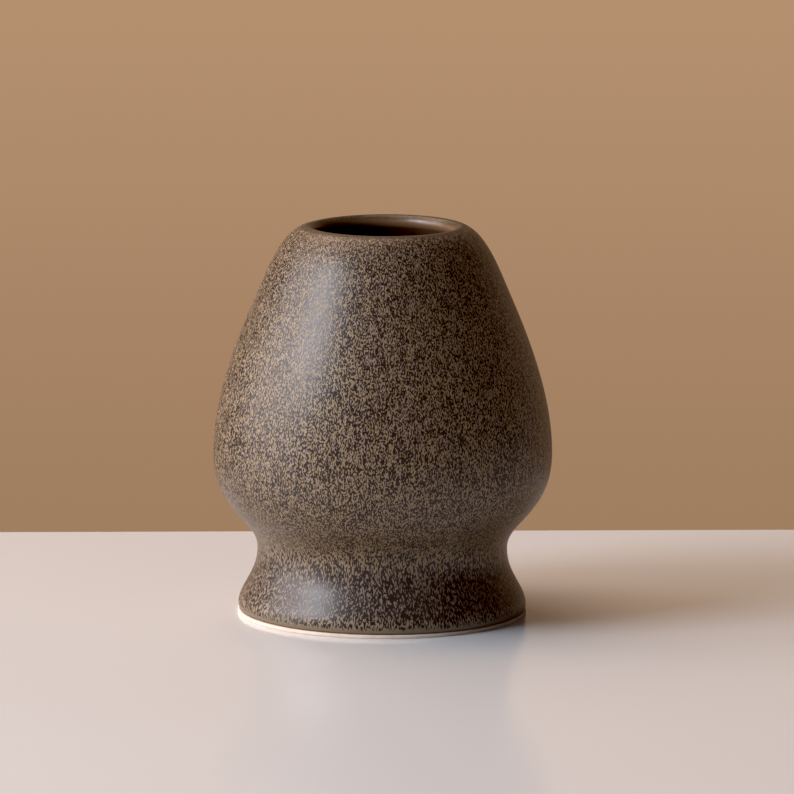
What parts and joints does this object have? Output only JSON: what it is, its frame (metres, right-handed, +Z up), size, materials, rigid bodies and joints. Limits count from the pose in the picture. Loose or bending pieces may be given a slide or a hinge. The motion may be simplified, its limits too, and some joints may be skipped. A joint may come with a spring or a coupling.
{
  "type": "tea whisk holder",
  "caption": "Small hollow glazed stoneware stand, egg-shaped over a drawn-in waist and flared foot, that a bamboo tea whisk is set on to dry and keep its shape.",
  "frame": {"origin": "centre of the foot, on the surface that the holder stands on", "axes": "+Z up along the turning axis, out of the mouth; X and Y are alike"},
  "size_m": [0.0624, 0.0624, 0.072],
  "materials": {
    "bare_clay": "matte, unglazed and lightly sanded",
    "speckled_glaze": "satin, dark brown broken by khaki flecks",
    "liner_glaze": "semi-gloss plain brown"
  },
  "bodies": {
    "root": {"clay_body": "bare_clay", "outer_glaze": "speckled_glaze", "liner_glaze": "liner_glaze"}
  },
  "joints": []
}
